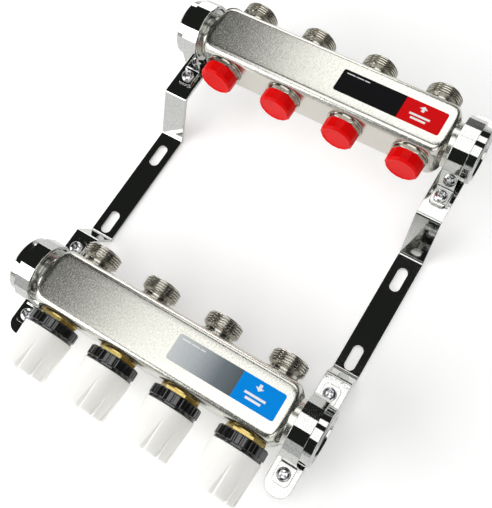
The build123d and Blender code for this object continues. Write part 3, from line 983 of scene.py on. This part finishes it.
def make_label(name):
    """The front label: a printed film, with the arrow and a plain mark in white print."""
    low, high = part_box(f"{name}_label")
    colours = {
        "supply": [
            (0.0, (0.006, 0.006, 0.007)),
            (0.608, (0.006, 0.006, 0.007)),
            (0.612, (0.70, 0.004, 0.006)),
        ],
        "return": [
            (0.0, (0.62, 0.64, 0.65)),
            (0.22, (0.45, 0.48, 0.50)),
            (0.45, (0.16, 0.19, 0.21)),
            (0.608, (0.10, 0.12, 0.13)),
            (0.612, (0.0, 0.26, 0.80)),
        ],
    }[name]
    film = printed_film(f"{name}_label_film", colours, low.x, high.x, 0.04)
    corners = [
        (low.x / MM, low.y / MM, 1.6),
        (high.x / MM, low.y / MM, 1.6),
        (high.x / MM, high.y / MM, 1.6),
        (low.x / MM, high.y / MM, 1.6),
    ]
    base_points = [(x * MM, y * MM) for x, y in rounded_outline(corners, 5)]
    base = plate(f"{name}_label_base", base_points, low.z, high.z - 0.12 * MM)
    slot = "label_red" if name == "supply" else "label_blue"
    finish_piece(base, film, slot, ROOT, f"{name}_label")
    block = low.x + BLOCK_START * (high.x - low.x)
    block_middle = (block + high.x) / 2 - 1.5 * MM
    centre_y = (low.y + high.y) / 2
    way = 1 if name == "supply" else -1
    top = high.z - 0.1 * MM
    marks = [plate("mark", arrow_points(block_middle, centre_y + 4.6 * MM, way), low.z, top)]
    for k, length in enumerate((15.0, 11.0)):
        y = centre_y - (1.6 + 3.0 * k) * MM
        reach = length / 2 * MM
        bar = stripe(block_middle - reach, block_middle + reach, y, 0.8 * MM)
        marks.append(plate("mark", bar, low.z, top))
    line_y = high.y - 2.6 * MM
    for start, end in ((3.0, 9.5), (10.3, 16.0), (16.8, 20.5)):
        dash = stripe(low.x + start * MM, low.x + end * MM, line_y, 0.35 * MM)
        marks.append(plate("mark", dash, low.z, top))
    finish_piece(join(f"{name}_label_print", marks), WHITE_PRINT, slot, ROOT)


def show_cad_nodes():
    """Materials for the CAD nodes that stay as they are."""
    materials = {
        "return_valve_body": BRASS,
        "supply_valve_body": NICKEL,
        "valve_stem": TURNED_STEEL,
        "regulating_spindle": TURNED_STEEL,
        "valve_spring": SPRING_STEEL,
        "clamp_nuts": ZINC,
        "valve_body_seals": RUBBER,
        "stem_seals": RUBBER,
        "spindle_seals": RUBBER,
    }
    for node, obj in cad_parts.items():
        for start, material in materials.items():
            if node.startswith(start):
                obj.data.materials.clear()
                obj.data.materials.append(material)


for bar_name in ("supply", "return"):
    make_bar(bar_name)
    make_label(bar_name)
    for number in CIRCUITS:
        make_outlet(bar_name, number)
    for side_name in ("left", "right"):
        make_end_socket(bar_name, side_name)
        make_clamp(bar_name, side_name)
for side_name in ("left", "right"):
    make_bracket(side_name)
for number in CIRCUITS:
    make_grip_ring(number)
    make_handle(number)
    make_cap(number)
make_screws()
show_cad_nodes()


# ---------------------------------------------------------------- floor, light, camera

CAMERA_PLACE = Vector((0.1514, -0.1587, 0.5157))
CAMERA_AZIMUTH = math.radians(44.5)
CAMERA_ELEVATION = math.radians(67.1)
CAMERA_ROLL = math.radians(-13.8)
CAMERA_LENS = 53.3
FLOOR_REACH = 6.0
FLOOR_THICKNESS = 0.02
FLOOR_GAP = 0.0002


def make_floor():
    material, shader = new_material("pale_floor")
    mottle = object_noise(material, 3, detail=2)
    colour = ramp(material, mottle, "Fac", [(0.3, (0.90, 0.90, 0.90)), (0.7, (0.93, 0.93, 0.925))])
    wire(material, colour, "Color", shader, "Base Color")
    shader.inputs["Roughness"].default_value = 0.9
    shader.inputs["Emission Color"].default_value = (1, 1, 1, 1)
    shader.inputs["Emission Strength"].default_value = 0.28
    points = [(x * FLOOR_REACH, y * FLOOR_REACH) for x, y in ((-1, -1), (1, -1), (1, 1), (-1, 1))]
    floor = plate("floor", points, -FLOOR_THICKNESS, CAD_BOX[0].z - FLOOR_GAP)
    floor.data.materials.append(material)


def add_area_light(name, place, target, size, power):
    data = bpy.data.lights.new(name, "AREA")
    data.shape = "RECTANGLE"
    data.size, data.size_y = size
    data.energy = power
    light = bpy.data.objects.new(name, data)
    light.location = place
    light.rotation_euler = (Vector(target) - Vector(place)).to_track_quat("-Z", "Y").to_euler()
    bpy.context.scene.collection.objects.link(light)


def make_world():
    """A dark studio overhead with a pale band near the horizon."""
    world = bpy.data.worlds.new("studio")
    world.use_nodes = True
    tree = world.node_tree
    place = tree.nodes.new("ShaderNodeTexCoord")
    axes = tree.nodes.new("ShaderNodeSeparateXYZ")
    height = tree.nodes.new("ShaderNodeValToRGB")
    tree.links.new(place.outputs["Generated"], axes.inputs["Vector"])
    tree.links.new(axes.outputs["Z"], height.inputs["Fac"])
    pale, dark = height.color_ramp.elements
    pale.position, pale.color = 0.10, (0.75, 0.76, 0.76, 1)
    dark.position, dark.color = 0.24, (0.022, 0.024, 0.021, 1)
    tree.links.new(height.outputs["Color"], tree.nodes["Background"].inputs["Color"])
    bpy.context.scene.world = world


def make_camera():
    """A close view from above, front right, rolled a little as a hand-held picture is."""
    level = Vector((math.sin(CAMERA_AZIMUTH), -math.cos(CAMERA_AZIMUTH), 0))
    back = level * math.cos(CAMERA_ELEVATION) + Vector((0, 0, math.sin(CAMERA_ELEVATION)))
    right = Vector((math.cos(CAMERA_AZIMUTH), math.sin(CAMERA_AZIMUTH), 0))
    up = back.cross(right)
    rolled_right = right * math.cos(CAMERA_ROLL) + up * math.sin(CAMERA_ROLL)
    rolled_up = up * math.cos(CAMERA_ROLL) - right * math.sin(CAMERA_ROLL)
    data = bpy.data.cameras.new("camera")
    data.sensor_width = 36.0
    data.lens = CAMERA_LENS
    data.clip_start = 0.01
    camera = bpy.data.objects.new("camera", data)
    turn = Matrix((rolled_right, rolled_up, back)).transposed()
    camera.matrix_world = Matrix.Translation(CAMERA_PLACE) @ turn.to_4x4()
    bpy.context.scene.collection.objects.link(camera)
    bpy.context.scene.camera = camera


make_floor()
make_world()
make_camera()
add_area_light("top_panel", (0.02, -0.2, 1.0), (0.02, -0.2, 0), (0.92, 0.70), 4.2)
add_area_light("back_panel", (0.02, 0.8, 1.0), (0.02, 0.8, 0), (0.92, 0.60), 3.6)
add_area_light("front_left", (-1.3, -1.2, 1.0), (0, 0, 0), (1.6, 1.1), 28.0)
add_area_light("front_right", (1.4, -1.1, 0.9), (0, 0, 0), (1.4, 0.9), 7.0)
add_area_light("rear_fill", (-0.7, 1.6, 0.6), (0, 0, 0), (0.9, 0.5), 5.0)
bpy.context.scene.view_settings.view_transform = "Standard"
